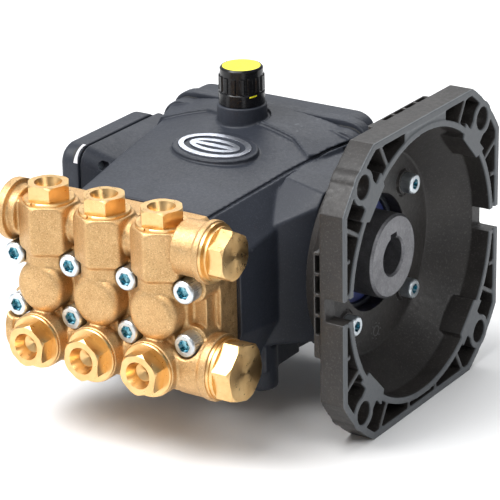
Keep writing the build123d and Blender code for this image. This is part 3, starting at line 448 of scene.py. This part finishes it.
knurls("manifold_knurls", "manifold_screws", 5.7, 8.0, (0, -1, 0))
knurls("flange_knurls", "flange_screws", 5.0, 6.0, (1, 0, 0))


def strip(name, rows, finish, body):
    """A thin band from pairs of points, one pair a row."""
    verts = [point for row in rows for point in row]
    faces = [(2 * i, 2 * i + 1, 2 * i + 3, 2 * i + 2) for i in range(len(rows) - 1)]
    add_piece(name, verts, faces, finish, body, smooth=True)


def cap_mark():
    """The short yellow level mark on the filler cap's skirt, to the right of its front."""
    low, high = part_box("oil_cap")
    middle = (low + high) / 2
    radius = (high.x - low.x) / 2 + 0.12 * MM
    rows = []
    for i in range(9):
        angle = math.radians(-38.0 + 2.6 * i)
        x = middle.x + radius * math.cos(angle)
        y = middle.y + radius * math.sin(angle)
        z = high.z - (14.2 - 0.06 * i) * MM
        rows.append(((x, y, z), (x, y, z + 0.75 * MM)))
    strip("cap_mark", rows, FINISHES["yellow_plastic"], "filler_cap")


TAG_CORNER_R = 10.0 * MM
TAG_LIFT = 0.15 * MM
TAG_STEPS = 12


def cover_tag():
    """A blank paper sliver over the top front corner of the blind-side cover, and beside it a black strip
    that is painted shadow of the cover's seam.
    """
    low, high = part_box("side_cover")
    y_centre, z_centre = low.y + TAG_CORNER_R, high.z - 0.3 * MM - TAG_CORNER_R

    def point(turn, x):
        angle = math.radians(turn)
        out = TAG_CORNER_R + TAG_LIFT
        return (x, y_centre - out * math.cos(angle), z_centre + out * math.sin(angle))

    def edge(start, end, bulge):
        parts = [i / TAG_STEPS for i in range(TAG_STEPS + 1)]
        return [start + (end - start) * part + bulge * math.sin(math.pi * part) for part in parts]

    def rows(left, right):
        found = []
        for i in range(TAG_STEPS + 1):
            turn = 12.0 + 66.0 * i / TAG_STEPS
            found.append((point(turn, high.x - left[i] * MM), point(turn, high.x - right[i] * MM)))
        return found

    fold = edge(2.7, 2.0, 0.0)
    strip("tag_sliver", rows(fold, edge(0.1, 0.1, 0.8)), FINISHES["paper_white"], "housing")
    # The black strip beside the sliver is painted shadow of the cover's seam, not a printed border.
    strip("tag_seam_shadow", rows(edge(2.7, 2.0, 1.5), fold), FINISHES["black_rubber"], "housing")


def mould_mark():
    """Raised ring with eight dots round it on the floor of the flange dish, below the hub."""
    floor_x = -28.5 * MM
    y_mid, z_mid = 1.0 * MM, -43.0 * MM
    verts, faces = [], []

    def ring(y, z, radii, steps):
        first = len(verts)
        for radius, rise in radii:
            for k in range(steps):
                angle = math.tau * k / steps
                across, up = radius * MM * math.cos(angle), radius * MM * math.sin(angle)
                verts.append((floor_x + rise * MM, y + across, z + up))
        for row in range(len(radii) - 1):
            for k in range(steps):
                a, b = first + row * steps + k, first + row * steps + (k + 1) % steps
                faces.append((a, b, b + steps, a + steps))

    ring(y_mid, z_mid, ((2.9, -0.1), (2.8, 0.3), (2.3, 0.3), (2.2, -0.1)), 32)
    for k in range(8):
        angle = math.tau * k / 8
        dot_y, dot_z = y_mid + 4.3 * MM * math.cos(angle), z_mid + 4.3 * MM * math.sin(angle)
        ring(dot_y, dot_z, ((0.5, -0.1), (0.42, 0.25), (0.02, 0.28)), 10)
    finish = FINISHES["flange_plastic"]
    add_piece("mould_mark", verts, faces, finish, "housing", smooth=True)


cap_mark()
cover_tag()
mould_mark()


# ---------------------------------------------------------------- castings

def casting(node, slot_name, voxel_mm, passes):
    """A copy of a CAD casting with its sharp corners and edges melted into small fillets."""
    source = NODES[node]
    low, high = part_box(node)
    piece = bpy.data.objects.new("soft_" + node, source.data.copy())
    bpy.context.scene.collection.objects.link(piece)
    welded = bmesh.new()
    welded.from_mesh(piece.data)
    bmesh.ops.remove_doubles(welded, verts=welded.verts, dist=0.002 * MM)
    welded.to_mesh(piece.data)
    welded.free()
    remesh = piece.modifiers.new("remesh", "REMESH")
    remesh.mode = "VOXEL"
    remesh.voxel_size = voxel_mm * MM
    smooth = piece.modifiers.new("smooth", "SMOOTH")
    smooth.factor = 0.5
    smooth.iterations = passes
    evaluated = piece.evaluated_get(bpy.context.evaluated_depsgraph_get())
    mesh = bpy.data.meshes.new_from_object(evaluated)
    piece.modifiers.clear()
    piece.data = mesh
    for vertex in mesh.vertices:
        vertex.co = Vector(min(max(c, a), b) for c, a, b in zip(vertex.co, low, high))
    mesh.materials.clear()
    mesh.materials.append(FINISHES[slot_name])
    for polygon in mesh.polygons:
        polygon.use_smooth = True
    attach(piece, source["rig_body"])
    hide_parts(node)


casting("manifold", "brass_cast", 0.6, 3)
casting("crankcase", "case_paint", 0.55, 3)
casting("motor_flange", "flange_plastic", 0.5, 2)
casting("rear_cover", "case_paint", 0.8, 3)
casting("side_cover", "case_paint", 0.8, 3)


# ---------------------------------------------------------------- studio

def floor_finish():
    s = Surface("floor", specular=0.3)
    s.tint(s.noise(400.0), 0.3, 0.7, (0.86, 0.86, 0.86), (0.89, 0.89, 0.89))
    s.gloss(s.noise(50.0), 0.3, 0.7, 0.7, 0.8)
    return s.done()


FLOOR_HALF = 6.0
floor_mesh = bpy.data.meshes.new("floor")
floor_corners = [(x * FLOOR_HALF, y * FLOOR_HALF, 0) for x, y in ((-1, -1), (1, -1), (1, 1), (-1, 1))]
floor_mesh.from_pydata(floor_corners, [], [(0, 1, 2, 3)])
floor = bpy.data.objects.new("floor", floor_mesh)
floor.location.z = cad_low.z
floor_mesh.materials.append(floor_finish())
bpy.context.scene.collection.objects.link(floor)

TARGET = Vector((-0.06, -0.03, 0.0))


def softbox(name, place, size, watts):
    data = bpy.data.lights.new(name, "AREA")
    data.shape = "RECTANGLE"
    data.size, data.size_y = size
    data.energy = watts
    lamp = bpy.data.objects.new(name, data)
    lamp.location = place
    lamp.rotation_euler = (TARGET - Vector(place)).to_track_quat("-Z", "Y").to_euler()
    bpy.context.scene.collection.objects.link(lamp)


softbox("key", (-0.75, -0.85, 1.25), (0.9, 0.9), 20)
softbox("back_rim", (-0.5, 1.1, 1.1), (1.4, 0.4), 10)
softbox("dish_fill", (1.1, -0.5, 1.15), (0.8, 0.8), 9)

sun_data = bpy.data.lights.new("overhead", "SUN")
sun_data.energy = 1.8
sun_data.angle = math.radians(40)
sun = bpy.data.objects.new("overhead", sun_data)
sun.rotation_euler = Vector((0.15, 0.45, -1.0)).to_track_quat("-Z", "Y").to_euler()
bpy.context.scene.collection.objects.link(sun)

world = bpy.data.worlds.new("studio")
world.use_nodes = True
sky = world.node_tree
sky_side = sky.nodes.new("ShaderNodeSeparateXYZ")
sky.links.new(sky.nodes.new("ShaderNodeTexCoord").outputs["Generated"], sky_side.inputs["Vector"])
sky_strength = sky.nodes.new("ShaderNodeMapRange")
sky_strength.inputs["From Min"].default_value = -0.7
sky_strength.inputs["From Max"].default_value = 0.7
sky_strength.inputs["To Min"].default_value = 0.62
sky_strength.inputs["To Max"].default_value = 0.10
sky.links.new(sky_side.outputs["X"], sky_strength.inputs["Value"])
sky.links.new(sky_strength.outputs["Result"], sky.nodes["Background"].inputs["Strength"])
sky.nodes["Background"].inputs["Color"].default_value = (0.93, 0.96, 1, 1)
bpy.context.scene.world = world
bpy.context.scene.view_settings.view_transform = "Standard"

CAMERA_LENS_MM = 187.76
CAMERA_PLACE = (0.58813, -1.04464, 0.48087)
CAMERA_RIGHT = (0.8376, 0.5460, -0.0175)
CAMERA_BACK = (0.5133, -0.7756, 0.3673)

camera_data = bpy.data.cameras.new("camera")
camera_data.sensor_width = 36.0
camera_data.lens = CAMERA_LENS_MM
camera = bpy.data.objects.new("camera", camera_data)
camera_right = Vector(CAMERA_RIGHT).normalized()
camera_back = Vector(CAMERA_BACK).normalized()
camera_up = camera_back.cross(camera_right).normalized()
camera_right = camera_up.cross(camera_back)
camera.matrix_world = Matrix.Translation(CAMERA_PLACE) @ Matrix(
    (camera_right, camera_up, camera_back)).transposed().to_4x4()
bpy.context.scene.collection.objects.link(camera)
bpy.context.scene.camera = camera
